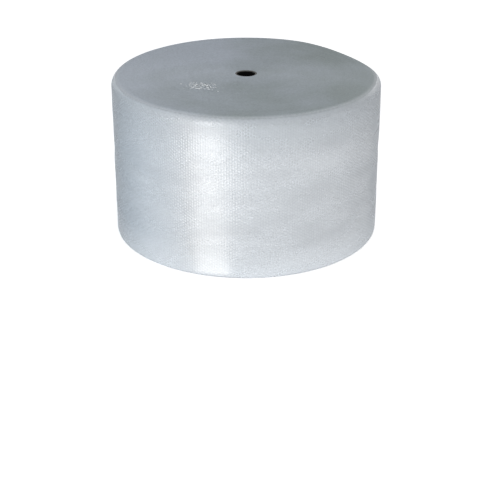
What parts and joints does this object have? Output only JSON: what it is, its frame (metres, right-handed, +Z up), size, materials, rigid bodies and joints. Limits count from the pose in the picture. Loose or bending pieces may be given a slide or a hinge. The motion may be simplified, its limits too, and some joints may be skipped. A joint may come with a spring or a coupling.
{
  "type": "bubble wrap roll",
  "caption": "Large roll of clear bubble film wound on a board core, standing on its end, with a soft flat spot on one side.",
  "frame": {"origin": "middle of the roll's lower end, on the floor, on the core's axis", "axes": "+Z up along the core; +X to the right and -Y towards the viewer in the picture; the flat spot is behind on the right"},
  "size_m": [1.0115, 1.0138, 0.6096],
  "materials": {
    "bubble_film": "glossy translucent polyethylene film with sealed air bubbles",
    "core_board": "matte grey-brown chipboard, spiral wound"
  },
  "bodies": {
    "root": {"bubble_film": "bubble_film", "core_tube": "core_board"}
  },
  "joints": []
}
